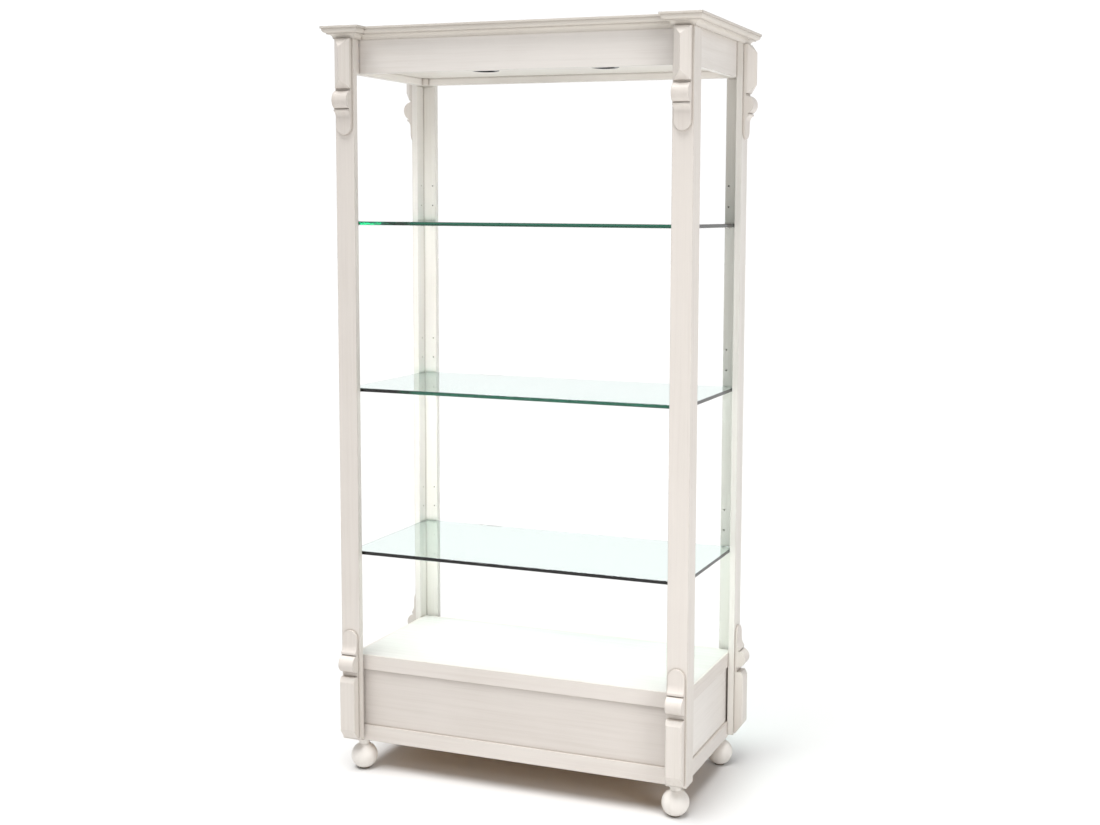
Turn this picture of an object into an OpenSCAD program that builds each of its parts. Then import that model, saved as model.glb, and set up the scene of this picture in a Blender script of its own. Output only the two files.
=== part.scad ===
// Open curio cabinet: four L-shaped corner posts carry a base box on ball feet,
// a lit top box under a break-front crown, and three lift-out glass shelves.
// Millimetres, +Z up, front towards -Y, floor at Z = 0.

/* [Overall] */
// Width over the corner posts
span_w = 1050; // [800:5:1300]
// Depth over the corner posts
span_d = 500; // [400:5:600]
// Height of the top of the crown above the floor
crown_top = 2133; // [2090:1:2300]
// Height of the carcass bottom above the floor
carcass_bottom = 89; // [86:1:110]

/* [Corner posts] */
// Width of each leg of an L-shaped post
post_leg = 58; // [56:1:70]
// Thickness of the boards
board = 18; // [18:1:20]

/* [Crown] */
// Height of the crown moulding
crown_h = 33; // [33:1:40]
// How far the crown stands out from its foot
crown_reach = 30; // [30:1:34]
// How far the front of the top box is set back behind the post faces
crown_break = 42; // [36:1:50]

/* [Top box] */
// Height of the aprons below the underside of the top board
apron_h = 108; // [95:1:130]
// Height of the ceiling panel above the bottom of the aprons
ceiling_rise = 21; // [15:1:30]
// Thickness of the ceiling panel
ceiling_t = 12; // [9:1:15]

/* [Base box] */
// Height of the deck surface above the floor
deck_top = 344; // [330:1:380]
// Set-back of the base rails behind the front and back post faces
base_setback = 28; // [26:1:32]
// Height of the rail under the deck surface
deck_rail_h = 43; // [30:1:50]
// Height of the rail along the bottom of the base
plinth_rail_h = 46; // [30:1:50]
// Thickness of the rails, which is also how deep the flat panel lies
rail_t = 6; // [4:1:8]
// Thickness of the base panels
panel_t = 12; // [9:1:15]

/* [Shelves] */
// Height of the top of the lowest shelf
shelf_first = 652; // [620:1:700]
// Height from one shelf to the next
shelf_pitch = 472; // [440:1:480]
// Thickness of the glass
glass_t = 10; // [8:1:12]
// Gap between the glass and the post boards
glass_gap = 1.5; // [1:0.5:3]
// Height from one pin hole to the next
hole_pitch = 60; // [40:5:64]
// Pin holes at each shelf position
holes_per_shelf = 3; // [1:1:3]

/* [Ornament] */
// Width of the carved blocks and scrolls
ornament_w = 47; // [40:1:50]
// How far the ridge of a capital block stands out
ridge_reach = 34; // [28:1:36]
// How far a plinth block stands out
plinth_reach = 27; // [24:1:32]

/* [Ceiling lights] */
// Distance of each light from the middle of the ceiling
light_x = 183; // [150:1:260]
// Outer radius of a trim ring
ring_r = 40; // [38:1:46]
// Outer radius of a light can
can_r = 34; // [30:1:36]

/* [Ball feet] */
// Radius of a ball foot
ball_r = 38; // [36:1:42]
// Distance of a foot's axis from the outer faces of its post
foot_inset = 44; // [42:1:46]
// Thickness of the felt pad under a foot
pad_t = 3; // [2:1:5]

/* [Hidden] */
$fn = 96;
CORNERS = ["fl", "fr", "bl", "br"];
SIDES = ["front", "back", "left", "right"];
SHELVES = ["lower", "middle", "upper"];

half_w = span_w / 2;
top_under = crown_top - board;
crown_foot = crown_top - crown_h;
apron_bottom = top_under - apron_h;
ceiling_z = apron_bottom + ceiling_rise;
block_w = 34;
block_end = board + block_w;
post_bottom = carcass_bottom + 8;

// Heights of the ornament on a post
capital_bottom = crown_foot - 137;
capital_slab = 12;
capital_hip = 24;
upper_tip = capital_bottom - 127;
plinth_bottom = post_bottom + 6;
plinth_top = carcass_bottom + 197;
lower_tip = plinth_top + 136;
scroll_reach = 32;

// The origin is the middle of the bounding box, whose front is the ridge of a capital block
// and whose back is the crown
y_mid = (ridge_reach - crown_reach) / 2;
y_front = y_mid - span_d / 2;
y_back = y_mid + span_d / 2;

// Shelf pins
pin_r = 2.5;
pin_drop = 13;
pin_hole_deep = 10;
pin_from_edge = 10;
pin_from_corner = 35;
flange_t = 1.2;
tab_len = 12;
tab_w = 9;

// Screws through the corner blocks into the posts, and the bolts of the feet
screw_r = 3;
screw_head_r = 5;
screw_head_t = 4;
screw_bite = 12;
screw_y = 43;
bolt_r = 4;
bolt_low = carcass_bottom - 35;
bolt_high = carcass_bottom + 20;

// Lights
can_h = 26;
can_wall = 1.5;
ring_t = 3;
lens_r = can_r - can_wall;
lens_t = 2.5;
lead_r = 2.5;
driver = [130, 62, 28];
grommet_r = 9;
grommet_x = 300;

// Points along an arc, from one angle to another
function arc(cx, cy, r, from, to, steps = 16) =
    [for (i = [0:steps]) let (a = from + (to - from) * i / steps) [cx + r * cos(a), cy + r * sin(a)]];

function shelf_z(i) = shelf_first + i * shelf_pitch;
function hole_z(i, k) = shelf_z(i) - pin_drop + k * hole_pitch;

// Puts a child, drawn with the post's outer corner at the origin and the cabinet
// towards +X and +Y, at one of the four corners
module at_corner(c) {
    right = c == "fr" || c == "br";
    back = c == "bl" || c == "br";
    translate([right ? half_w : -half_w, back ? y_back : y_front, 0])
        mirror([right ? 1 : 0, 0, 0])
            mirror([0, back ? 1 : 0, 0])
                children();
}

// Every corner at once
module at_corners() {
    for (c = CORNERS)
        at_corner(c) children();
}

// A box between two corners, drawn in a corner's own frame
module slab(low, high) {
    translate(low) cube(high - low);
}

// A shape of side outline [reach, height] swept across a width, standing out towards -Y
module swept(outline, width) {
    rotate([90, 0, 90])
        linear_extrude(width, center = true)
            polygon([for (p = outline) [-p[0], p[1]]]);
}

// ---------------------------------------------------------------- posts

// The board on the front or back of a post, with its pin holes on the inside
module post_face(c) {
    color("antiquewhite")
        at_corner(c)
            difference() {
                slab([0, 0, post_bottom], [post_leg, board, top_under]);
                for (i = [0:2], k = [0:holes_per_shelf - 1])
                    translate([post_leg - pin_from_edge, board - pin_hole_deep, hole_z(i, k)])
                        rotate([-90, 0, 0]) cylinder(h = pin_hole_deep + 1, r = pin_r);
            }
}

// The board on the outer side of a post, behind the edge of the face board
module post_side(c) {
    color("antiquewhite")
        at_corner(c)
            difference() {
                slab([0, board, post_bottom], [board, post_leg, top_under]);
                for (i = [0:2], k = [0:holes_per_shelf - 1])
                    translate([board - pin_hole_deep, pin_from_corner, hole_z(i, k)])
                        rotate([0, 90, 0]) cylinder(h = pin_hole_deep + 1, r = pin_r);
                for (z = screw_heights())
                    translate([board - screw_bite, screw_y, z])
                        rotate([0, 90, 0]) cylinder(h = screw_bite + 1, r = screw_r);
            }
}

// ---------------------------------------------------------------- ornament

// Front posts carry their ornament on the front, back posts on the outer side
module on_post(c) {
    back = c == "bl" || c == "br";
    at_corner(c)
        translate([back ? 0 : post_leg / 2, back ? post_leg / 2 : 0, 0])
            rotate([0, 0, back ? -90 : 0])
                children();
}

// Faceted block with an upright ridge, hipped at both ends
module capital_block() {
    intersection() {
        linear_extrude(crown_foot)
            polygon([
                [-ornament_w / 2, 0], [ornament_w / 2, 0], [ornament_w / 2, -capital_slab],
                [0, -ridge_reach], [-ornament_w / 2, -capital_slab]
            ]);
        swept([
            [0, capital_bottom], [capital_slab, capital_bottom],
            [ridge_reach, capital_bottom + capital_hip], [ridge_reach, crown_foot - capital_hip],
            [capital_slab, crown_foot], [0, crown_foot]
        ], ornament_w);
    }
}

// Scroll that swells out under the capital and runs down into a round-ended tongue
module upper_scroll(c) {
    z = capital_bottom;
    tongue = 8.5;
    outline = concat(
        [[0, z], [8, z]],
        arc(scroll_reach - 28, z - 32, 27, 80, -66),
        [[15, z - 57.5], [20, z - 57.5]],
        arc(tongue + 20, z - 80, 20, 115, 180),
        [[tongue - 1, upper_tip], [0, upper_tip]]
    );
    color("antiquewhite")
        on_post(c)
            intersection() {
                swept(outline, ornament_w);
                tongue_plate(upper_tip, z, false);
            }
}

// The lower scroll stands the other way up: the tongue rises from the swelling
module lower_scroll(c) {
    z = plinth_top;
    tongue = 8;
    outline = concat(
        [[0, z], [6, z], [6, z + 14]],
        arc(scroll_reach - 25, z + 39, 25, -88, 76),
        [[11, z + 63.3], [11, z + 66], [15.5, z + 66]],
        arc(tongue + 38, z + 95, 38, 217, 180),
        [[tongue - 1, lower_tip], [0, lower_tip]]
    );
    color("antiquewhite")
        on_post(c)
            intersection() {
                swept(outline, ornament_w);
                tongue_plate(lower_tip, z, true);
            }
}

// Front outline of a scroll: straight sides and one half-round end
module tongue_plate(tip, square_end, up) {
    r = ornament_w / 2;
    centre = up ? tip - r : tip + r;
    rotate([90, 0, 0])
        linear_extrude(scroll_reach + 1) {
            translate([-r, min(centre, square_end)])
                square([ornament_w, abs(centre - square_end)]);
            translate([0, centre]) circle(r);
        }
}

// Plain block at the foot of a post, with a sloping bottom and eased edges
module plinth_block() {
    ease = 3;
    intersection() {
        linear_extrude(plinth_top)
            polygon([
                [-ornament_w / 2, 0], [ornament_w / 2, 0], [ornament_w / 2, ease - plinth_reach],
                [ornament_w / 2 - ease, -plinth_reach], [ease - ornament_w / 2, -plinth_reach],
                [-ornament_w / 2, ease - plinth_reach]
            ]);
        swept([
            [0, plinth_bottom], [6, plinth_bottom], [plinth_reach, plinth_bottom + 28],
            [plinth_reach, plinth_top - 14], [plinth_reach - 8, plinth_top], [0, plinth_top]
        ], ornament_w);
    }
}

module capital_blocks() {
    color("antiquewhite")
        for (c = CORNERS)
            on_post(c) capital_block();
}

module plinth_blocks() {
    color("antiquewhite")
        for (c = CORNERS)
            on_post(c) plinth_block();
}

// ---------------------------------------------------------------- crown

// Outline of the moulding as [reach, height]: cove, fillet, quarter round and lip
function crown_outline() = concat(
    [[0, crown_foot], [4, crown_foot], [4, crown_foot + 1]],
    arc(15, crown_foot + 1, 11, 180, 90),
    [[17, crown_foot + 12], [17, crown_foot + 15]],
    arc(17, crown_foot + 25, 10, -90, 0),
    [[27, crown_foot + 27], [crown_reach, crown_foot + 27], [crown_reach, crown_top], [0, crown_top]]
);

// A length of moulding from X = 0 to X = len at the foot. The ends are mitred:
// +1 grows the end outwards round an outside corner, -1 shortens it into an inside one.
module moulding(len, left_mitre, right_mitre) {
    grow_l = left_mitre * crown_reach;
    grow_r = right_mitre * crown_reach;
    intersection() {
        translate([len / 2, 0, 0])
            swept(crown_outline(), len + 2 * crown_reach);
        linear_extrude(crown_top)
            polygon([[0, 0], [len, 0], [len + grow_r, -crown_reach], [-grow_l, -crown_reach]]);
    }
}

module crown_front() {
    color("antiquewhite")
        translate([post_leg - half_w, y_front + crown_break, 0])
            moulding(span_w - 2 * post_leg, -1, -1);
}

// The crown breaks forward round the front of each post: a front piece and its return
module crown_corner(c) {
    color("antiquewhite")
        at_corner(c) {
            moulding(post_leg, 1, 1);
            translate([post_leg, 0, 0])
                rotate([0, 0, 90])
                    moulding(crown_break, 1, -1);
        }
}

module crown_side(c) {
    color("antiquewhite")
        at_corner(c)
            rotate([0, 0, -90])
                mirror([1, 0, 0])
                    moulding(span_d, 1, 1);
}

module crown_back() {
    color("antiquewhite")
        translate([half_w, y_back, 0])
            rotate([0, 0, 180])
                moulding(span_w, 1, 1);
}

// ---------------------------------------------------------------- top box

// Lid of the cabinet, stepped back between the front posts
module top_board() {
    color("antiquewhite")
        difference() {
            translate([-half_w, y_front, top_under])
                cube([span_w, span_d, board]);
            translate([post_leg - half_w, y_front - 1, top_under - 1])
                cube([span_w - 2 * post_leg, crown_break + 1, board + 2]);
            translate([grommet_x, y_back - 100, top_under - 1])
                cylinder(h = board + 2, r = grommet_r);
        }
}

// Blocks that tie the posts to the aprons
module top_blocks() {
    color("antiquewhite")
        at_corners()
            difference() {
                slab([board, board, apron_bottom], [block_end, post_leg, top_under]);
                block_screw_holes(top_screws());
            }
}

module apron_front() {
    color("antiquewhite")
        translate([block_end - half_w, y_front + crown_break, apron_bottom])
            cube([span_w - 2 * block_end, board, apron_h]);
}

module apron_back() {
    color("antiquewhite")
        translate([block_end - half_w, y_back - base_setback - board, apron_bottom])
            cube([span_w - 2 * block_end, board, apron_h]);
}

module apron_side(c) {
    color("antiquewhite")
        at_corner(c)
            slab([board, post_leg, apron_bottom], [2 * board, span_d - post_leg, top_under]);
}

// Panel between the aprons, notched round the corner blocks, with a hole for each light
module ceiling_panel() {
    y_low = y_front + crown_break + board;
    y_high = y_back - base_setback - board;
    color("antiquewhite")
        difference() {
            translate([2 * board - half_w, y_low, ceiling_z])
                cube([span_w - 4 * board, y_high - y_low, ceiling_t]);
            at_corners()
                slab([0, 0, ceiling_z - 1], [block_end, post_leg, ceiling_z + ceiling_t + 1]);
            for (x = [-light_x, light_x])
                translate([x, y_mid, ceiling_z - 1])
                    cylinder(h = ceiling_t + 2, r = can_r);
        }
}

// ---------------------------------------------------------------- lights

// Cup that passes up through the ceiling panel
module light_cans() {
    color("silver")
        for (x = [-light_x, light_x])
            translate([x, y_mid, ceiling_z])
                difference() {
                    cylinder(h = can_h, r = can_r);
                    translate([0, 0, -1])
                        cylinder(h = can_h - can_wall + 1, r = can_r - can_wall);
                    translate([x > 0 ? -can_r : can_r, 0, ceiling_t + lead_r])
                        rotate([0, 90, 0])
                            cylinder(h = 8, r = lead_r, center = true);
                }
}

module light_boards() {
    color("white")
        for (x = [-light_x, light_x])
            translate([x, y_mid, ceiling_z + can_h - can_wall - 3])
                cylinder(h = 3, r = can_r - can_wall - 3);
}

module light_lenses() {
    color("lightyellow", 0.7)
        for (x = [-light_x, light_x])
            translate([x, y_mid, ceiling_z + 2])
                cylinder(h = lens_t, r = lens_r);
}

// Trim ring with a sloping inner lip, seated against the ceiling
module light_rings() {
    color("dimgray")
        for (x = [-light_x, light_x])
            translate([x, y_mid, ceiling_z])
                rotate_extrude()
                    polygon([
                        [lens_r - 5, 2], [lens_r - 5, 0], [lens_r - 3, -ring_t], [ring_r - 2, -ring_t],
                        [ring_r, -1], [ring_r, 0], [lens_r, 0], [lens_r, 2]
                    ]);
}

module driver_box() {
    color("whitesmoke")
        translate([-driver[0] / 2, y_mid - driver[1] / 2, ceiling_z + ceiling_t])
            cube(driver);
}

// Leads that lie on the ceiling panel between the cans and the driver box
module light_leads() {
    lead_len = light_x - can_r + can_wall - driver[0] / 2;
    color("black")
        for (s = [-1, 1])
            translate([s * driver[0] / 2, y_mid, ceiling_z + ceiling_t + lead_r])
                rotate([0, s * 90, 0])
                    cylinder(h = lead_len, r = lead_r);
}

// Bush in the top board where the supply cord leaves
module cord_grommet() {
    color("black")
        translate([grommet_x, y_back - 100, top_under])
            rotate_extrude()
                polygon([
                    [grommet_r - 3, 0], [grommet_r, 0], [grommet_r, board],
                    [grommet_r + 4, board], [grommet_r + 4, board + 2], [grommet_r - 3, board + 2]
                ]);
}

// ---------------------------------------------------------------- shelves

module shelf(i) {
    gap = board + glass_gap;
    color("palegreen", 0.4)
        translate([gap - half_w, y_front + gap, shelf_z(i) - glass_t])
            cube([span_w - 2 * gap, span_d - 2 * gap, glass_t]);
}

// Pin along +X from a hole's mouth: shank, flange and flat tab under the glass
module shelf_pin() {
    translate([-pin_hole_deep, 0, 0])
        rotate([0, 90, 0]) cylinder(h = pin_hole_deep, r = pin_r);
    rotate([0, 90, 0]) cylinder(h = flange_t, r = pin_r + 1.5);
    translate([0, -tab_w / 2, pin_drop - glass_t - 2])
        cube([tab_len, tab_w, 2]);
}

// Two pins at each corner, one in each board of the post
module shelf_pins(i) {
    color("silver")
        at_corners()
            translate([0, 0, hole_z(i, 0)]) {
                translate([board, pin_from_corner, 0])
                    shelf_pin();
                translate([post_leg - pin_from_edge, board, 0])
                    rotate([0, 0, 90]) shelf_pin();
            }
}

// ---------------------------------------------------------------- base box

// Floor of the display space, within the upper rails. The box stands clear of the face
// boards of the posts, so a narrow slot is left behind each of them.
module deck_board() {
    x_in = board + rail_t;
    y_in = base_setback + rail_t;
    color("antiquewhite")
        translate([x_in - half_w, y_front + y_in, deck_top - board])
            cube([span_w - 2 * x_in, span_d - 2 * y_in, board]);
}

// Solid blocks in the corners of the box that carry the deck and the feet
module base_blocks() {
    color("antiquewhite")
        at_corners()
            difference() {
                slab([board + rail_t, base_setback + rail_t, carcass_bottom],
                    [block_end, block_end, deck_top - board]);
                block_screw_holes(base_screws());
                foot_bolt_hole();
            }
}

module base_panel_long(c) {
    color("antiquewhite")
        at_corner(c)
            slab([block_end, base_setback + rail_t, carcass_bottom],
                [span_w - block_end, base_setback + rail_t + panel_t, deck_top - board]);
}

module base_panel_short(c) {
    color("antiquewhite")
        at_corner(c)
            slab([board + rail_t, block_end, carcass_bottom],
                [board + rail_t + panel_t, span_d - block_end, deck_top - board]);
}

// Four rails laid round the box between two heights, against the side boards of the posts
module rails(low, high) {
    y_in = base_setback + rail_t;
    difference() {
        for (c = ["fl", "br"])
            at_corner(c) {
                slab([board, base_setback, low], [span_w - board, y_in, high]);
                slab([board, y_in, low], [board + rail_t, span_d - y_in, high]);
            }
        at_corners()
            block_screw_holes(base_screws());
    }
}

module deck_rails() {
    color("antiquewhite") rails(deck_top - deck_rail_h, deck_top);
}

module plinth_rails() {
    color("antiquewhite") rails(carcass_bottom, carcass_bottom + plinth_rail_h);
}

// Bottom of the box, notched round the blocks
module base_floor() {
    x_in = board + rail_t + panel_t;
    y_in = base_setback + rail_t + panel_t;
    color("burlywood")
        difference() {
            translate([x_in - half_w, y_front + y_in, carcass_bottom + 8])
                cube([span_w - 2 * x_in, span_d - 2 * y_in, panel_t]);
            at_corners()
                slab([0, 0, carcass_bottom], [block_end, block_end, carcass_bottom + 9 + panel_t]);
        }
}

// ---------------------------------------------------------------- feet

// Turned ball with a waisted neck, flat where the felt pad is stuck on
module ball_foot(c) {
    waist_r = 15.5;
    neck_r = 19;
    cove_z = carcass_bottom - 9;
    neck = concat(
        [[0, ball_r], [waist_r, ball_r]],
        arc(neck_r, cove_z, neck_r - waist_r, 180, 90, 6),
        [[neck_r, carcass_bottom], [0, carcass_bottom]]
    );
    color("antiquewhite")
        at_corner(c)
            translate([foot_inset, foot_inset, 0])
                difference() {
                    rotate_extrude()
                        intersection() {
                            union() {
                                translate([0, ball_r]) circle(ball_r);
                                polygon(neck);
                            }
                            translate([0, pad_t]) square([ball_r + 1, carcass_bottom - pad_t]);
                        }
                    translate([0, 0, bolt_low])
                        cylinder(h = carcass_bottom, r = bolt_r);
                }
}

module foot_bolts() {
    color("silver")
        at_corners()
            translate([foot_inset, foot_inset, bolt_low])
                cylinder(h = bolt_high - bolt_low, r = bolt_r);
}

module foot_bolt_hole() {
    translate([foot_inset, foot_inset, carcass_bottom - 1])
        cylinder(h = bolt_high - carcass_bottom + 1, r = bolt_r);
}

module foot_pads() {
    color("gray")
        at_corners()
            translate([foot_inset, foot_inset, 0])
                cylinder(h = pad_t, r = sqrt(pow(ball_r, 2) - pow(ball_r - pad_t, 2)));
}

// ---------------------------------------------------------------- screws

// The base screws pass through the rails
function base_screws() = [carcass_bottom + 33, deck_top - 30];
function top_screws() = [apron_bottom + 35, top_under - 30];
function screw_heights() = concat(base_screws(), top_screws());

// Hole and counterbore for each screw of a corner block
module block_screw_holes(heights) {
    for (z = heights)
        translate([board - 1, screw_y, z])
            rotate([0, 90, 0]) {
                cylinder(h = block_w + 2, r = screw_r);
                translate([0, 0, block_w + 1 - screw_head_t])
                    cylinder(h = screw_head_t + 1, r = screw_head_r);
            }
}

module post_screws() {
    color("goldenrod")
        at_corners()
            for (z = screw_heights())
                translate([board - screw_bite, screw_y, z])
                    rotate([0, 90, 0]) {
                        cylinder(h = screw_bite + block_w - screw_head_t, r = screw_r);
                        translate([0, 0, screw_bite + block_w - screw_head_t])
                            cylinder(h = screw_head_t, r = screw_head_r);
                    }
}

for (c = CORNERS) {
    post_face(c);
    post_side(c);
    upper_scroll(c);
    lower_scroll(c);
    ball_foot(c);
}
capital_blocks();
plinth_blocks();
crown_front();
crown_corner("fl");  // crown_corner_l
crown_corner("fr");  // crown_corner_r
crown_side("fl");  // crown_left
crown_side("fr");  // crown_right
crown_back();
top_board();
top_blocks();
ceiling_panel();
apron_front();
apron_back();
apron_side("fl");  // apron_left
apron_side("fr");  // apron_right
light_cans();
light_boards();
light_lenses();
light_rings();
driver_box();
light_leads();
cord_grommet();
for (i = [0:2]) {
    shelf(i);
    shelf_pins(i);
}
deck_board();
base_blocks();
base_floor();
deck_rails();
plinth_rails();
base_panel_long("fl");  // base_panel_front
base_panel_long("bl");  // base_panel_back
base_panel_short("fl");  // base_panel_left
base_panel_short("fr");  // base_panel_right
foot_bolts();
foot_pads();
post_screws();
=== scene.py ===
import math
import bmesh
import bpy
import numpy as np
from mathutils import Matrix, Vector


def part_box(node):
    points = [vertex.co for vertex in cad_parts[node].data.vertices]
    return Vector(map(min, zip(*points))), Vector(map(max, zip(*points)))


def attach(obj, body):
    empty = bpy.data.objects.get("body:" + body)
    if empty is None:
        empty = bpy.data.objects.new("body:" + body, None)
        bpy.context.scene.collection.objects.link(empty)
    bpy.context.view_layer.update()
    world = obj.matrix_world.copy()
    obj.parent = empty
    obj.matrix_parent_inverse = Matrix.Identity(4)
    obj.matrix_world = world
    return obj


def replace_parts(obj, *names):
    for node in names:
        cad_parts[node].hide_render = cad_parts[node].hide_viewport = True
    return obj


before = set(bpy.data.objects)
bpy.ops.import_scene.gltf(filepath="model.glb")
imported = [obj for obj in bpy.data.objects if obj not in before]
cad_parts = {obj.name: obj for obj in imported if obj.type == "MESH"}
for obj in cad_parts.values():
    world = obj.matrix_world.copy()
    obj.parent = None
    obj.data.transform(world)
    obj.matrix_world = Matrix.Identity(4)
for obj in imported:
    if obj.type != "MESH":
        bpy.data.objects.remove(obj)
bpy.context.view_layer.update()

# ---------------------------------------------------------------- camera
# The cabinet is seen from its front right, with the eye at the height of its upper half.
# The lens is a short portrait lens, and the frame is shifted a little to the left and up.

camera_data = bpy.data.cameras.new("studio_camera")
camera_data.sensor_width = 36
camera_data.lens = 48.93
camera_data.shift_x = -0.0618
camera_data.shift_y = -0.0452
camera_data.clip_end = 200
camera = bpy.data.objects.new("studio_camera", camera_data)
bpy.context.scene.collection.objects.link(camera)
post_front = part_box("post_face_fl")[0].y
camera.matrix_world = (
    Matrix.Translation((1.7097, post_front - 3.6719, 1.6330))
    @ Matrix.Rotation(math.radians(20.693), 4, "Z")
    @ Matrix.Rotation(math.radians(90 - 5.839), 4, "X")
    @ Matrix.Rotation(math.radians(0.382), 4, "Z")
)
bpy.context.scene.camera = camera

# ---------------------------------------------------------------- ball feet
# Four balls turned in solid hardwood, each with a waisted neck, and painted with the cabinet.
# A bolt up through the neck holds each one, and a felt pad is glued to its flat underside.


def give_material(material, *names):
    """Puts one material on every slot of the CAD nodes with these names."""
    for name in names:
        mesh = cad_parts[name].data
        if not mesh.materials:
            mesh.materials.append(material)
        for i in range(len(mesh.materials)):
            mesh.materials[i] = material


def new_material(name):
    """A material with only a Principled shader and an output, and a way to add nodes to it."""
    material = bpy.data.materials.new(name)
    material.use_nodes = True
    tree = material.node_tree
    tree.nodes.clear()
    output = tree.nodes.new("ShaderNodeOutputMaterial")
    shader = tree.nodes.new("ShaderNodeBsdfPrincipled")
    tree.links.new(shader.outputs[0], output.inputs["Surface"])
    return material, tree, shader


def add(tree, kind, inputs=(), **settings):
    """Adds a shader node: inputs maps a socket to a value or to another node's output."""
    node = tree.nodes.new("ShaderNode" + kind)
    for key, value in settings.items():
        setattr(node, key, value)
    for key, value in dict(inputs).items():
        if isinstance(value, bpy.types.NodeSocket):
            tree.links.new(value, node.inputs[key])
        else:
            node.inputs[key].default_value = value
    return node


def ramp(tree, factor, *stops):
    """A colour ramp through (position, colour) stops, with the colours in linear light."""
    node = add(tree, "ValToRGB", {"Fac": factor})
    while len(node.color_ramp.elements) < len(stops):
        node.color_ramp.elements.new(0.5)
    for element, (place, colour) in zip(node.color_ramp.elements, stops):
        element.position = place
        element.color = (*colour, 1)
    return node.outputs["Color"]


def spread(tree, value, low, high, to_low, to_high):
    """Maps a value from one range to another, held at the ends."""
    node = add(tree, "MapRange", {"Value": value, 1: low, 2: high, 3: to_low, 4: to_high})
    return node.outputs["Result"]


def weigh(tree, value, weight, onto=0.0):
    """Adds a weighted value onto another one."""
    node = add(tree, "Math", {0: value, 1: weight, 2: onto}, operation="MULTIPLY_ADD")
    return node.outputs[0]


def blend(tree, factor, colour, second):
    """Blends a colour from a node towards a fixed second colour by a factor."""
    node = add(tree, "Mix", {"Factor": factor, 6: colour, 7: (*second, 1)}, data_type="RGBA")
    return node.outputs[2]


def brushed_paint(name, upright, start, cream=(0.700, 0.648, 0.600)):
    """Satin antique-white paint laid on along the grain.

    Three noises stretched along the board give broad unevenness, grain that telegraphs
    through, and fine bristle marks. The rounded-normal node softens each arris, and where
    the rounding is strong the paint is rubbed thin, as noise along the edge allows. Wherever
    an ambient-occlusion test finds two faces meeting in a crevice, the colour is darkened
    towards a dark brown: this is painted shade.
    """
    material, tree, shader = new_material(name)
    place = add(tree, "TexCoord").outputs["Object"]
    place = add(tree, "Mapping", {"Vector": place, "Location": start}).outputs[0]
    if upright:
        along = add(tree, "Mapping", {"Vector": place, "Scale": (1, 1, 0.022)}).outputs[0]
    else:
        facing = add(tree, "NewGeometry").outputs["Normal"]
        sideways = add(tree, "SeparateXYZ", {0: facing}).outputs["X"]
        sideways = add(tree, "Math", {0: sideways}, operation="ABSOLUTE").outputs[0]
        sideways = add(tree, "Math", {0: sideways, 1: 0.8}, operation="GREATER_THAN").outputs[0]
        wide = add(tree, "Mapping", {"Vector": place, "Scale": (0.022, 1, 1)}).outputs[0]
        deep = add(tree, "Mapping", {"Vector": place, "Scale": (1, 0.022, 1)}).outputs[0]
        along = add(tree, "Mix", {"Factor": sideways, 4: wide, 5: deep}, data_type="VECTOR")
        along = along.outputs[1]
    cloud = add(tree, "TexNoise", {"Vector": place, "Scale": 3.5, "Detail": 3.0, "Roughness": 0.5})
    grain = add(tree, "TexNoise", {"Vector": along, "Scale": 95.0, "Detail": 5.0, "Roughness": 0.6})
    bristle = add(tree, "TexNoise", {
        "Vector": along, "Scale": 520.0, "Detail": 3.0, "Roughness": 0.7,
    })
    mixed = weigh(tree, cloud.outputs[0], 0.35)
    mixed = weigh(tree, grain.outputs[0], 0.45, mixed)
    mixed = weigh(tree, bristle.outputs[0], 0.2, mixed)
    light = tuple(c * 1.04 for c in cream)
    shade = tuple(c * k for c, k in zip(cream, (0.935, 0.925, 0.915)))
    colour = ramp(tree, mixed, (0.36, shade), (0.5, cream), (0.66, light))
    rounded = add(tree, "Bevel", {"Radius": 0.0028}, samples=6).outputs[0]
    flat = add(tree, "NewGeometry").outputs["Normal"]
    turn = add(tree, "VectorMath", {0: rounded, 1: flat}, operation="DOT_PRODUCT").outputs["Value"]
    edge = spread(tree, turn, 0.995, 0.90, 0.0, 1.0)
    patch = add(tree, "TexNoise", {
        "Vector": place, "Scale": 38.0, "Detail": 6.0, "Roughness": 0.65,
    })
    rubbed = spread(tree, patch.outputs[0], 0.50, 0.64, 0.0, 0.55)
    wear = add(tree, "Math", {0: edge, 1: rubbed}, operation="MULTIPLY").outputs[0]
    under = tuple(c * k for c, k in zip(shade, (0.80, 0.74, 0.66)))
    colour = blend(tree, wear, colour, under)
    # Painted shade: ambient occlusion darkens the colour towards a dark brown in crevices and where
    # faces meet.
    crevice = add(tree, "AmbientOcclusion", {"Distance": 0.009}, samples=8).outputs["AO"]
    crevice_painted_shade = spread(tree, crevice, 0.45, 0.85, 0.6, 0.0)
    painted_shade_brown = tuple(c * k for c, k in zip(cream, (0.42, 0.38, 0.34)))
    colour = blend(tree, crevice_painted_shade, colour, painted_shade_brown)
    tree.links.new(colour, shader.inputs["Base Color"])
    sheen = spread(tree, mixed, 0.35, 0.65, 0.50, 0.38)
    tree.links.new(sheen, shader.inputs["Roughness"])
    height = weigh(tree, bristle.outputs[0], 0.35)
    height = weigh(tree, grain.outputs[0], 0.65, height)
    bump = add(tree, "Bump", {
        "Strength": 0.35, "Distance": 0.0006, "Height": height, "Normal": rounded,
    })
    tree.links.new(bump.outputs[0], shader.inputs["Normal"])
    return material


corners = ("fl", "fr", "bl", "br")
# The feet get a lighter copy of the cabinet's paint: painted light on the balls.
give_material(
    brushed_paint("paint_turned_feet_painted_light", True, (3.1, 0.4, 1.7), cream=(0.84, 0.80, 0.75)),
    *["ball_foot_" + c for c in corners],
)


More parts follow.
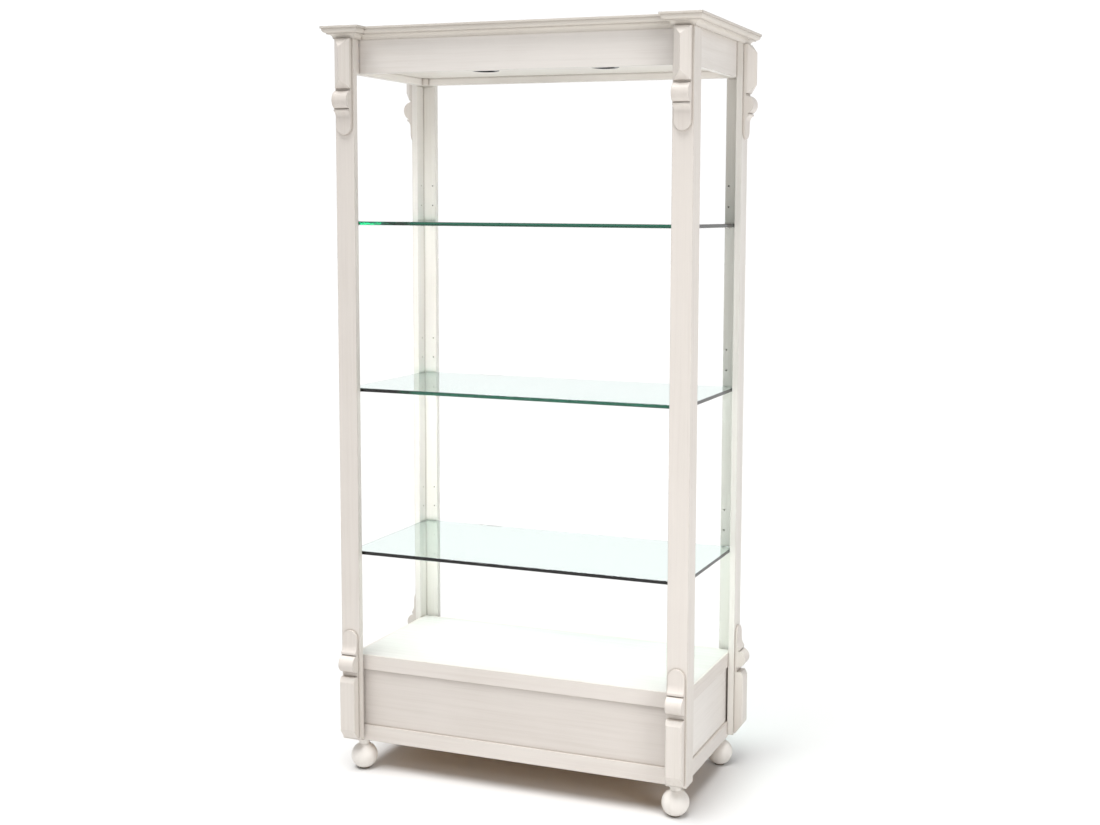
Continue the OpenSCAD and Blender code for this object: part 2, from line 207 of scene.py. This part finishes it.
def pressed_felt(name):
    """Brown wool felt: short fibres as stretched noise, with a fuzzy sheen and a soft bump."""
    material, tree, shader = new_material(name)
    place = add(tree, "TexCoord").outputs["Object"]
    fibre = add(tree, "TexNoise", {
        "Vector": place, "Scale": 1500.0, "Detail": 4.0, "Distortion": 1.2,
    })
    colour = ramp(tree, fibre.outputs[0], (0.3, (0.07, 0.05, 0.035)), (0.7, (0.19, 0.14, 0.10)))
    tree.links.new(colour, shader.inputs["Base Color"])
    shader.inputs["Roughness"].default_value = 0.95
    shader.inputs["Sheen Weight"].default_value = 0.4
    bump = add(tree, "Bump", {"Strength": 0.6, "Distance": 0.0005, "Height": fibre.outputs[0]})
    tree.links.new(bump.outputs[0], shader.inputs["Normal"])
    return material


def plated_steel(name, colour, dark, rough):
    """Plated steel: cloudy plating colour, fine scratches, and roughness that follows the
    scratches.
    """
    material, tree, shader = new_material(name)
    place = add(tree, "TexCoord").outputs["Object"]
    cloud = add(tree, "TexNoise", {"Vector": place, "Scale": 210.0, "Detail": 4.0})
    scratch = add(tree, "TexNoise", {
        "Vector": add(tree, "Mapping", {"Vector": place, "Scale": (1, 1, 0.05)}).outputs[0],
        "Scale": 2600.0, "Detail": 2.0,
    })
    plating = ramp(tree, cloud.outputs[0], (0.35, dark), (0.65, colour))
    tree.links.new(plating, shader.inputs["Base Color"])
    shader.inputs["Metallic"].default_value = 1.0
    gloss = spread(tree, scratch.outputs[0], 0.3, 0.7, rough - 0.08, rough + 0.12)
    tree.links.new(gloss, shader.inputs["Roughness"])
    bump = add(tree, "Bump", {"Strength": 0.15, "Distance": 0.0001, "Height": scratch.outputs[0]})
    tree.links.new(bump.outputs[0], shader.inputs["Normal"])
    return material


give_material(pressed_felt("brown_felt"), "foot_pads")
zinc = plated_steel("zinc_plated_steel", (0.62, 0.62, 0.64), (0.46, 0.47, 0.50), 0.38)
give_material(zinc, "foot_bolts", "post_screws")

# ---------------------------------------------------------------- base box
# A closed box of painted panels and corner blocks with a pine bottom. Rails laid on the panels
# run round its top and bottom and leave a flat field between them. The box stands between the
# side boards of the posts, and screws from inside its blocks hold the posts.


def sawn_softwood(name):
    """Unpainted pine: bands of early and late wood bent by slow noise, with fine pores."""
    material, tree, shader = new_material(name)
    place = add(tree, "TexCoord").outputs["Object"]
    along = add(tree, "Mapping", {"Vector": place, "Scale": (0.06, 1, 1)}).outputs[0]
    bend = add(tree, "TexNoise", {"Vector": along, "Scale": 14.0, "Detail": 3.0})
    rings = add(tree, "TexWave", {
        "Vector": along, "Scale": 34.0, "Distortion": 5.0, "Detail": 3.0,
        "Phase Offset": bend.outputs[0],
    }, bands_direction="DIAGONAL")
    pores = add(tree, "TexNoise", {"Vector": along, "Scale": 900.0, "Detail": 2.0})
    tone = weigh(tree, pores.outputs[0], 0.3, rings.outputs["Fac"])
    colour = ramp(tree, tone, (0.1, (0.62, 0.43, 0.24)), (0.9, (0.47, 0.28, 0.13)))
    tree.links.new(colour, shader.inputs["Base Color"])
    tree.links.new(spread(tree, tone, 0.1, 1.2, 0.72, 0.58), shader.inputs["Roughness"])
    bump = add(tree, "Bump", {"Strength": 0.3, "Distance": 0.0004, "Height": tone})
    tree.links.new(bump.outputs[0], shader.inputs["Normal"])
    return material


give_material(sawn_softwood("pine_floor"), "base_floor")
give_material(
    brushed_paint("paint_corner_blocks", True, (6.1, 0.7, 9.2)),
    "base_blocks", "top_blocks",
)
# The front and back panels get a darker copy of the paint: painted shade.
give_material(
    brushed_paint("paint_base_panels_painted_shade", False, (0.3, 2.9, 5.2), cream=(0.660, 0.610, 0.567)),
    "base_panel_front", "base_panel_back",
)
# The side panels get a lighter copy of the paint: painted light on the sides.
side_paint_painted_light = brushed_paint("paint_side_panels_painted_light", False, (3.6, 0.8, 2.7), cream=(0.785, 0.745, 0.705))
give_material(side_paint_painted_light, "base_panel_left", "base_panel_right")
give_material(
    brushed_paint("paint_base_rails", False, (7.7, 1.3, 0.6), cream=(0.70, 0.65, 0.605)),
    "deck_rails", "plinth_rails",
)
# The deck gets a darker copy of the paint: painted shade against the strong light on its top.
give_material(
    brushed_paint("paint_deck_painted_shade", False, (2.2, 6.4, 3.9), cream=(0.65, 0.63, 0.60)),
    "deck_board",
)

# ---------------------------------------------------------------- corner posts
# Each post is two boards glued edge to face in an L, painted along the grain, with a row of
# small bored pin holes at each shelf height. Nothing but the posts joins base and top.

give_material(
    brushed_paint("paint_front_posts", True, (1.4, 8.1, 0.2), cream=(0.70, 0.652, 0.605)),
    "post_face_fl", "post_side_fl", "post_face_fr", "post_side_fr",
)
# The back posts get a lighter copy of the paint than the front ones: painted light on their inner
# faces.
give_material(
    brushed_paint("paint_back_posts_painted_light", True, (5.9, 2.6, 4.4), cream=(0.76, 0.725, 0.68)),
    "post_face_bl", "post_side_bl", "post_face_br", "post_side_br",
)

# ---------------------------------------------------------------- carved ornament
# Plinth blocks, lower and upper scrolls and faceted capital blocks are band-sawn and planed
# from the same wood, glued on the front posts' faces and on the outer sides of the back ones.

give_material(
    brushed_paint("paint_carved_scrolls", True, (9.3, 4.8, 7.1), cream=(0.69, 0.638, 0.59)),
    *["upper_scroll_" + c for c in corners],
    *["lower_scroll_" + c for c in corners],
)
give_material(
    brushed_paint("paint_carved_blocks", True, (4.6, 7.2, 2.8), cream=(0.70, 0.652, 0.603)),
    "capital_blocks", "plinth_blocks",
)

# ---------------------------------------------------------------- top box and crown
# Four aprons, a lid and a ceiling panel make a shallow box for the lights. The crown is one
# moulded section, mitred round the break at each front post, and glued round the lid.

# The front and back aprons get a lighter copy of the paint: painted light.
give_material(
    brushed_paint("paint_aprons_painted_light", False, (6.5, 3.3, 8.8), cream=(0.78, 0.74, 0.70)),
    "apron_front", "apron_back",
)
# The end aprons share the side panels' lighter copy of the paint: painted light.
give_material(side_paint_painted_light, "apron_left", "apron_right")
# The lid and ceiling panel get a lighter copy of the paint: painted light on the shaded ceiling.
give_material(
    brushed_paint("paint_lid_and_ceiling_painted_light", False, (8.2, 5.5, 1.1), cream=(0.76, 0.71, 0.65)),
    "top_board", "ceiling_panel",
)
# The crown gets a darker copy of the paint: painted shade.
give_material(
    brushed_paint("paint_crown_painted_shade", False, (0.9, 9.6, 6.3), cream=(0.63, 0.585, 0.53)),
    "crown_front", "crown_corner_l", "crown_corner_r", "crown_left", "crown_right", "crown_back",
)

# ---------------------------------------------------------------- ceiling lights
# Two recessed lamps: a spun cup through the ceiling panel, a lamp board, a ribbed lens and a
# dark plated trim ring. Leads run over the panel to a driver box, and the supply cord would
# leave by the rubber bush in the lid.


def grid_piece(name, grid, material, around=True, smooth=True):
    """Joins an n by m grid of points into faces, each point with its neighbours both ways.

    The first direction closes on itself, and around closes the second one too. Points that
    fall together, as at a pole, are merged, and every face is turned outwards.
    """
    n, m = grid.shape[:2]
    i, j = np.meshgrid(np.arange(n), np.arange(m if around else m - 1), indexing="ij")
    k, l = (i + 1) % n, (j + 1) % m
    faces = np.stack([i * m + j, k * m + j, k * m + l, i * m + l], -1).reshape(-1, 4)
    mesh = bpy.data.meshes.new(name)
    mesh.from_pydata(grid.reshape(-1, 3).tolist(), [], faces.tolist())
    work = bmesh.new()
    work.from_mesh(mesh)
    bmesh.ops.remove_doubles(work, verts=work.verts, dist=1e-6)
    bmesh.ops.recalc_face_normals(work, faces=work.faces)
    work.to_mesh(mesh)
    work.free()
    mesh.polygons.foreach_set("use_smooth", [smooth] * len(mesh.polygons))
    mesh.materials.append(material)
    piece = bpy.data.objects.new(name, mesh)
    bpy.context.scene.collection.objects.link(piece)
    return piece


def turned(radii, heights, x, y, steps=96):
    """Revolves a profile about the upright line at x, y: (x + r cos t, y + r sin t, z)."""
    turn = np.linspace(0, 2 * np.pi, steps, endpoint=False)[:, None]
    radii, heights = np.asarray(radii)[None, :], np.asarray(heights)[None, :]
    return np.stack([x + radii * np.cos(turn), y + radii * np.sin(turn), heights + 0 * turn], -1)


ring_low, ring_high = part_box("light_rings")
ring_radius = (ring_high.y - ring_low.y) / 2
lamp_y = (ring_high.y + ring_low.y) / 2
lamp_x = ring_high.x - ring_radius
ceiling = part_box("ceiling_panel")[0].z


def spun_aluminium(name):
    """Bright cup with the fine rings that the spinning tool leaves round its wall."""
    material, tree, shader = new_material(name)
    place = add(tree, "TexCoord").outputs["Object"]
    rings = add(tree, "TexNoise", {
        "Vector": add(tree, "Mapping", {"Vector": place, "Scale": (0.02, 0.02, 1)}).outputs[0],
        "Scale": 1800.0, "Detail": 3.0,
    })
    cloud = add(tree, "TexNoise", {"Vector": place, "Scale": 90.0, "Detail": 3.0})
    colour = ramp(tree, cloud.outputs[0], (0.3, (0.58, 0.58, 0.59)), (0.7, (0.76, 0.76, 0.77)))
    tree.links.new(colour, shader.inputs["Base Color"])
    shader.inputs["Metallic"].default_value = 1.0
    tree.links.new(spread(tree, rings.outputs[0], 0.3, 0.7, 0.24, 0.42), shader.inputs["Roughness"])
    bump = add(tree, "Bump", {"Strength": 0.3, "Distance": 0.0002, "Height": rings.outputs[0]})
    tree.links.new(bump.outputs[0], shader.inputs["Normal"])
    return material


def black_nickel(name):
    """Dark plated trim: nearly black metal with a slight cloud and a satin turn to it."""
    material, tree, shader = new_material(name)
    place = add(tree, "TexCoord").outputs["Object"]
    cloud = add(tree, "TexNoise", {"Vector": place, "Scale": 160.0, "Detail": 4.0})
    dark, pale = (0.018, 0.017, 0.018), (0.050, 0.047, 0.048)
    colour = ramp(tree, cloud.outputs[0], (0.3, dark), (0.7, pale))
    tree.links.new(colour, shader.inputs["Base Color"])
    shader.inputs["Metallic"].default_value = 1.0
    tree.links.new(spread(tree, cloud.outputs[0], 0.3, 0.7, 0.22, 0.36), shader.inputs["Roughness"])
    bump = add(tree, "Bump", {"Strength": 0.1, "Distance": 0.0002, "Height": cloud.outputs[0]})
    tree.links.new(bump.outputs[0], shader.inputs["Normal"])
    return material


def frosted_acrylic(name):
    """Pale diffusing lens: milky body, slightly cloudy, with a fine moulded stipple."""
    material, tree, shader = new_material(name)
    place = add(tree, "TexCoord").outputs["Object"]
    stipple = add(tree, "TexVoronoi", {"Vector": place, "Scale": 1100.0})
    cloud = add(tree, "TexNoise", {"Vector": place, "Scale": 120.0, "Detail": 2.0})
    colour = ramp(tree, cloud.outputs[0], (0.3, (0.74, 0.72, 0.66)), (0.7, (0.88, 0.87, 0.83)))
    tree.links.new(colour, shader.inputs["Base Color"])
    shader.inputs["Transmission Weight"].default_value = 0.35
    shader.inputs["IOR"].default_value = 1.49
    tree.links.new(spread(tree, cloud.outputs[0], 0.3, 0.7, 0.28, 0.42), shader.inputs["Roughness"])
    height = stipple.outputs["Distance"]
    bump = add(tree, "Bump", {"Strength": 0.25, "Distance": 0.0002, "Height": height})
    tree.links.new(bump.outputs[0], shader.inputs["Normal"])
    return material


def lamp_board_white(name):
    """White lamp board with small square amber emitters set out in a grid."""
    material, tree, shader = new_material(name)
    place = add(tree, "TexCoord").outputs["Object"]
    cell = add(tree, "TexVoronoi", {
        "Vector": place, "Scale": 120.0, "Randomness": 0.0,
    }, distance="CHEBYCHEV").outputs["Distance"]
    amber, white = (0.72, 0.52, 0.08), (0.84, 0.84, 0.82)
    colour = ramp(tree, cell, (0.16, amber), (0.20, white))
    tree.links.new(colour, shader.inputs["Base Color"])
    tree.links.new(spread(tree, cell, 0.1, 0.3, 0.2, 0.5), shader.inputs["Roughness"])
    return material


def moulded_plastic(name, low, high, rough):
    """Moulded plastic with a fine spark-eroded texture and slight unevenness of colour."""
    material, tree, shader = new_material(name)
    place = add(tree, "TexCoord").outputs["Object"]
    cloud = add(tree, "TexNoise", {"Vector": place, "Scale": 26.0, "Detail": 3.0})
    pits = add(tree, "TexVoronoi", {"Vector": place, "Scale": 1600.0}).outputs["Distance"]
    colour = ramp(tree, cloud.outputs[0], (0.35, low), (0.65, high))
    tree.links.new(colour, shader.inputs["Base Color"])
    gloss = spread(tree, pits, 0.0, 0.8, rough - 0.08, rough + 0.08)
    tree.links.new(gloss, shader.inputs["Roughness"])
    bump = add(tree, "Bump", {"Strength": 0.25, "Distance": 0.0002, "Height": pits})
    tree.links.new(bump.outputs[0], shader.inputs["Normal"])
    return material


give_material(spun_aluminium("spun_cup"), "light_cans")
give_material(lamp_board_white("lamp_boards"), "light_boards")
give_material(
    moulded_plastic("driver_shell", (0.66, 0.66, 0.64), (0.74, 0.74, 0.72), 0.5),
    "driver_box",
)
give_material(
    moulded_plastic("black_rubber", (0.012, 0.012, 0.012), (0.03, 0.03, 0.03), 0.62),
    "light_leads", "cord_grommet",
)

trim_metal = black_nickel("black_nickel_trim")
lens_body = frosted_acrylic("frosted_lens")
lens_low, lens_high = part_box("light_lenses")
lens_radius = (lens_high.y - lens_low.y) / 2
throat = lens_radius - 0.005
ring_thick, lip, recess = 0.003, 0.0022, 0.002
bead_from, bead_half, bead_high, cone_from = 0.0075, 0.0012, 0.0009, 0.0105
rib_pitch, rib_deep, plain_middle = 0.0022, 0.0006, 0.002
for side, x in (("left", -lamp_x), ("right", lamp_x)):
    # The ring's section: flat back, rolled outer lip, flat face, bead, and a cone inwards.
    roll = np.linspace(0, np.pi / 2, 8)
    outer_r = ring_radius - lip + lip * np.cos(roll)
    outer_z = ceiling - ring_thick + lip - lip * np.sin(roll)
    bead = np.linspace(0, np.pi, 9)
    bead_r = ring_radius - bead_from - bead_half * (1 - np.cos(bead))
    bead_z = ceiling - ring_thick + bead_high * np.sin(bead)
    cone_r = np.linspace(ring_radius - cone_from, throat, 6)
    cone_z = ceiling - ring_thick + ring_thick * np.linspace(0, 1, 6) ** 1.4
    back_r = [throat, lens_radius, lens_radius]
    back_z = [ceiling + recess, ceiling + recess, ceiling]
    radii = np.concatenate([[ring_radius], outer_r, bead_r, cone_r, back_r])
    heights = np.concatenate([[ceiling], outer_z, bead_z, cone_z, back_z])
    ring = grid_piece("trim_ring_" + side, turned(radii, heights, x, lamp_y, 120), trim_metal)
    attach(ring, "cabinet")
    # The lens: flat back and a front of concentric ribs, r from the rim to the middle.
    r = np.linspace(lens_radius, 0, 90)
    wave = (1 - np.cos(r / rib_pitch * 2 * np.pi)) / 2 * (r > plain_middle)
    ribs = lens_low.z + rib_deep * wave
    radii = np.concatenate([[0], [lens_radius], r])
    heights = np.concatenate([[lens_high.z], [lens_high.z], ribs])
    disc = turned(radii, heights, x, lamp_y)
    lens = grid_piece("ribbed_lens_" + side, disc, lens_body, around=False)
    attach(lens, "cabinet")
    if side == "left":
        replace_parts(ring, "light_rings")
        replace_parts(lens, "light_lenses")

# ---------------------------------------------------------------- shelf pins
# Spoon pins of nickel-plated steel push into the bored holes, two to a corner, and each
# carries the glass on a small flat tab.

nickel = plated_steel("nickel_plated_pin", (0.72, 0.70, 0.67), (0.52, 0.50, 0.47), 0.24)
give_material(nickel, "shelf_pins_lower", "shelf_pins_middle", "shelf_pins_upper")

# ---------------------------------------------------------------- glass shelves
# Three plates of 10 mm float glass lie loose on the pins. Their edges are ground flat with a
# narrow arris and polished, and the iron in the glass makes them look dark green end on.


def float_glass(name):
    """Clear glass with a smooth polished face.

    The green comes from absorption over the length of the path inside, so the faces look
    almost clear and the edges dark. Lamps shine through it as through a faint green filter.
    """
    material, tree, shader = new_material(name)
    shader.inputs["Base Color"].default_value = (0.965, 0.988, 0.98, 1)
    shader.inputs["Transmission Weight"].default_value = 1.0
    shader.inputs["IOR"].default_value = 1.52
    place = add(tree, "TexCoord").outputs["Object"]
    smear = add(tree, "TexNoise", {"Vector": place, "Scale": 9.0, "Detail": 5.0, "Roughness": 0.6})
    haze = spread(tree, smear.outputs[0], 0.45, 0.75, 0.0, 0.035)
    tree.links.new(haze, shader.inputs["Roughness"])
    output = next(n for n in tree.nodes if n.type == "OUTPUT_MATERIAL")
    ray = add(tree, "LightPath").outputs["Is Shadow Ray"]
    clear = add(tree, "BsdfTransparent", {"Color": (0.97, 0.985, 0.978, 1)})
    mix = add(tree, "MixShader", {0: ray, 1: shader.outputs[0], 2: clear.outputs[0]})
    tree.links.new(mix.outputs[0], output.inputs["Surface"])
    body = add(tree, "VolumeAbsorption", {"Color": (0.10, 0.62, 0.52, 1), "Density": 11.0})
    tree.links.new(body.outputs[0], output.inputs["Volume"])
    return material


def plate(low, high, radius, arris):
    """A rectangular plate as rings of points: (corner + r cos t, corner + r sin t) round the
    outline, and down its section from the middle of the top, over the arris, down the edge,
    and back under to the middle of the bottom. The inset of each ring is taken off r."""
    steps = 7
    turn = np.radians(np.concatenate([np.linspace(q, q + 90, steps) for q in (0, 90, 180, 270)]))
    right = np.repeat([1, -1, -1, 1], steps)
    back = np.repeat([1, 1, -1, -1], steps)
    cx, cy = (low.x + high.x) / 2, (low.y + high.y) / 2
    hx, hy = (high.x - low.x) / 2 - radius, (high.y - low.y) / 2 - radius
    inset = np.array([1.0, 0, 0, 0, 0, 1.0])
    reach = radius - np.array([0, arris, 0, 0, arris, 0])
    z = np.array([high.z, high.z, high.z - arris, low.z + arris, low.z, low.z])
    x = cx + right[:, None] * hx + np.cos(turn)[:, None] * reach
    y = cy + back[:, None] * hy + np.sin(turn)[:, None] * reach
    x = x + inset * (cx - x)
    y = y + inset * (cy - y)
    return np.stack([x, y, z + 0 * x], -1)


glass = float_glass("float_glass")
for height in ("lower", "middle", "upper"):
    low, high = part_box("shelf_" + height)
    shape = plate(low, high, radius=0.002, arris=0.0008)
    pane = grid_piece("glass_" + height, shape, glass, around=False, smooth=False)
    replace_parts(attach(pane, "shelf_" + height), "shelf_" + height)

# ---------------------------------------------------------------- studio
# A plain pale floor under a white sky, with a broad soft lamp overhead, a soft box at the
# right, and an upright strip light with a grid that reaches in to the back left post.

bpy.context.scene.view_settings.view_transform = "Standard"


def pale_floor(name):
    """Painted studio floor: near white, with very faint broad unevenness."""
    material, tree, shader = new_material(name)
    place = add(tree, "TexCoord").outputs["Object"]
    cloud = add(tree, "TexNoise", {"Vector": place, "Scale": 1.3, "Detail": 3.0})
    dull, pale = (0.755, 0.75, 0.745), (0.775, 0.77, 0.765)
    colour = ramp(tree, cloud.outputs[0], (0.3, dull), (0.7, pale))
    tree.links.new(colour, shader.inputs["Base Color"])
    shader.inputs["Roughness"].default_value = 0.7
    return material


reach = 40
floor_mesh = bpy.data.meshes.new("floor")
floor_mesh.from_pydata(
    [(-reach, -reach, 0), (reach, -reach, 0), (reach, reach, 0), (-reach, reach, 0)],
    [], [(0, 1, 2, 3)],
)
floor_mesh.materials.append(pale_floor("studio_floor"))
floor = bpy.data.objects.new("floor", floor_mesh)
bpy.context.scene.collection.objects.link(floor)

world = bpy.data.worlds.new("white_studio")
world.use_nodes = True
sky = world.node_tree.nodes["Background"]
bounced = add(world.node_tree, "LightPath").outputs["Is Diffuse Ray"]
white_to_eye, light_given = 1.05, 0.21
strength = spread(world.node_tree, bounced, 0, 1, white_to_eye, light_given)
world.node_tree.links.new(strength, sky.inputs["Strength"])
sky.inputs["Color"].default_value = (1, 1, 1, 1)
bpy.context.scene.world = world


def studio_lamp(kind, place, aim, energy, **settings):
    """A lamp of one kind at a place, turned towards the point that it lights."""
    lamp_data = bpy.data.lights.new(kind.lower() + "_lamp", kind)
    lamp_data.energy = energy
    for key, value in settings.items():
        setattr(lamp_data, key, value)
    lamp = bpy.data.objects.new(kind.lower() + "_lamp", lamp_data)
    bpy.context.scene.collection.objects.link(lamp)
    turn = (Vector(place) - Vector(aim)).to_track_quat("Z", "Y")
    lamp.matrix_world = Matrix.Translation(place) @ turn.to_matrix().to_4x4()


studio_lamp("SUN", (-0.4, -1.3, 6.0), (0, 0, 1), 3.8, angle=math.radians(45))
studio_lamp("AREA", (2.6, -1.6, 1.2), (0, 0, 1.1), 24, shape="SQUARE", size=0.9)
studio_lamp(
    "AREA", (1.0, -2.4, 1.17), (-0.49, 0.23, 1.17), 0.55,
    shape="RECTANGLE", size=0.1, size_y=1.3, spread=math.radians(8),
)
